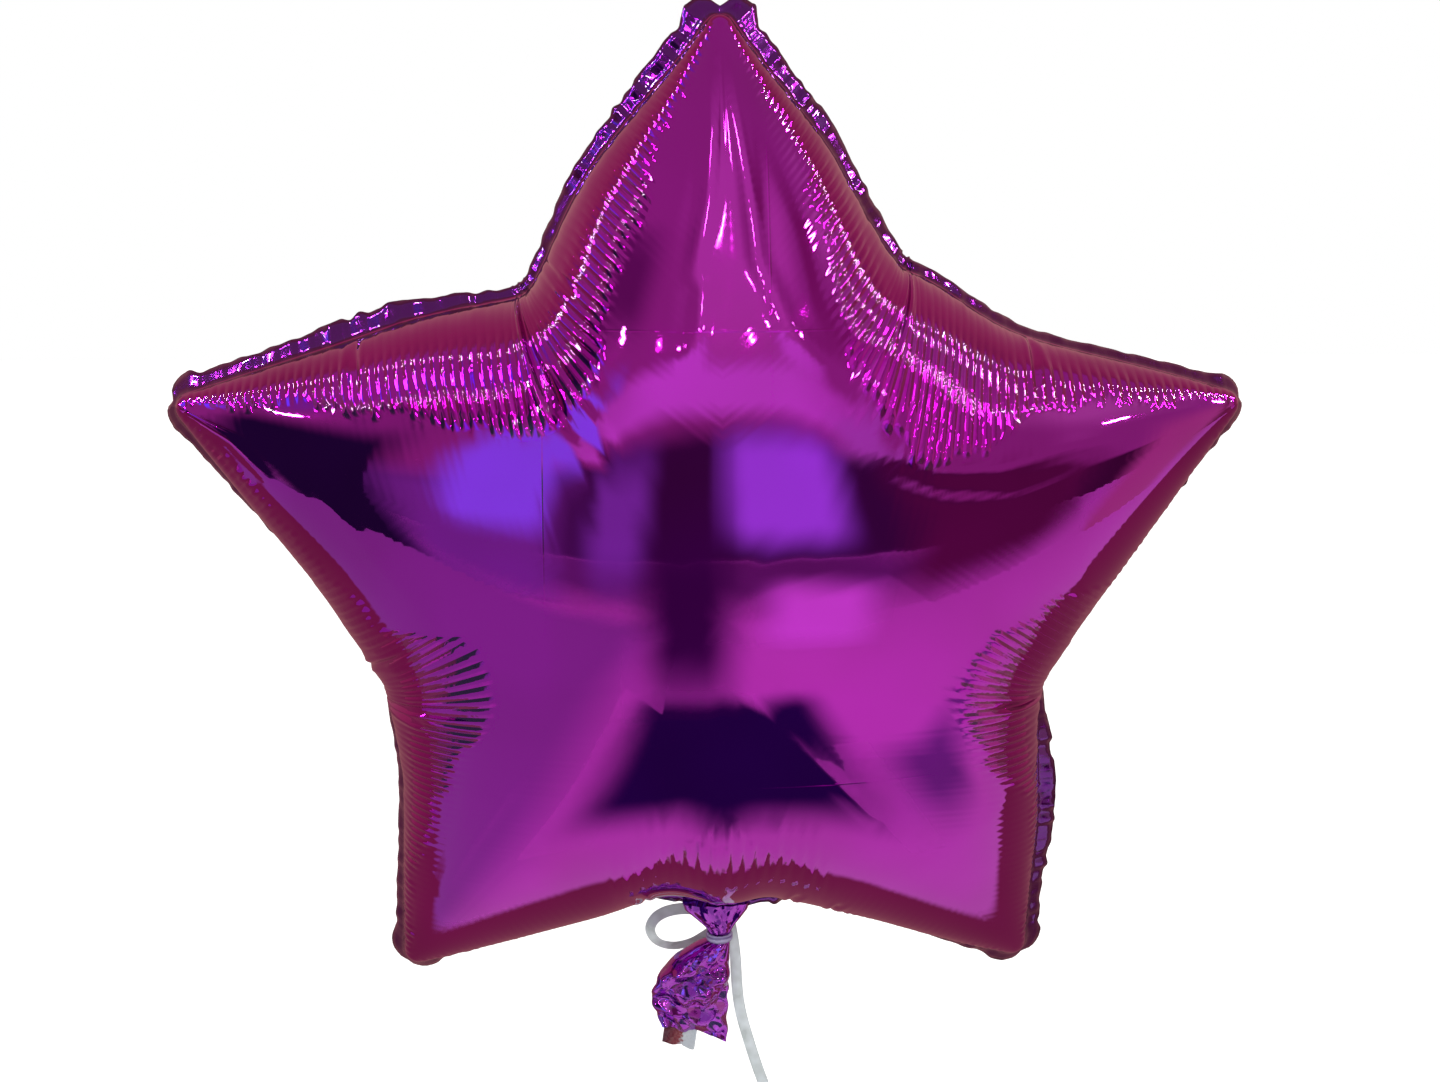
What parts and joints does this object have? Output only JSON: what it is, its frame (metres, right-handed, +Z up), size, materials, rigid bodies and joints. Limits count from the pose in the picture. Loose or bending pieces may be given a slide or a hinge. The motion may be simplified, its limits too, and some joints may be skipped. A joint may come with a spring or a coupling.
{
  "type": "star foil balloon",
  "caption": "Inflated star-shaped foil balloon with a welded edge, a gathered neck with a filling valve, and a tied curling ribbon that ends in a small hand loop.",
  "frame": {"origin": "the lowest point inside the hand loop at the end of the ribbon, where the balloon is held", "axes": "+Z up towards the star's top tip, -Y out of the star's front, +X to the right in the picture"},
  "size_m": [0.448, 0.1586, 0.5056],
  "materials": {
    "foil": "magenta metallised polyester film, bright and smooth, finely puckered along the weld",
    "valve_film": "thin reddish plastic film",
    "ribbon": "silver-white curling ribbon with a soft sheen"
  },
  "bodies": {
    "root": {"envelope": "foil", "filling_valve": "valve_film", "neck_tie": "ribbon", "ribbon_knot": "ribbon", "bow_loop": "ribbon", "ribbon": "ribbon", "end_knot": "ribbon", "hand_loop": "ribbon"}
  },
  "joints": []
}
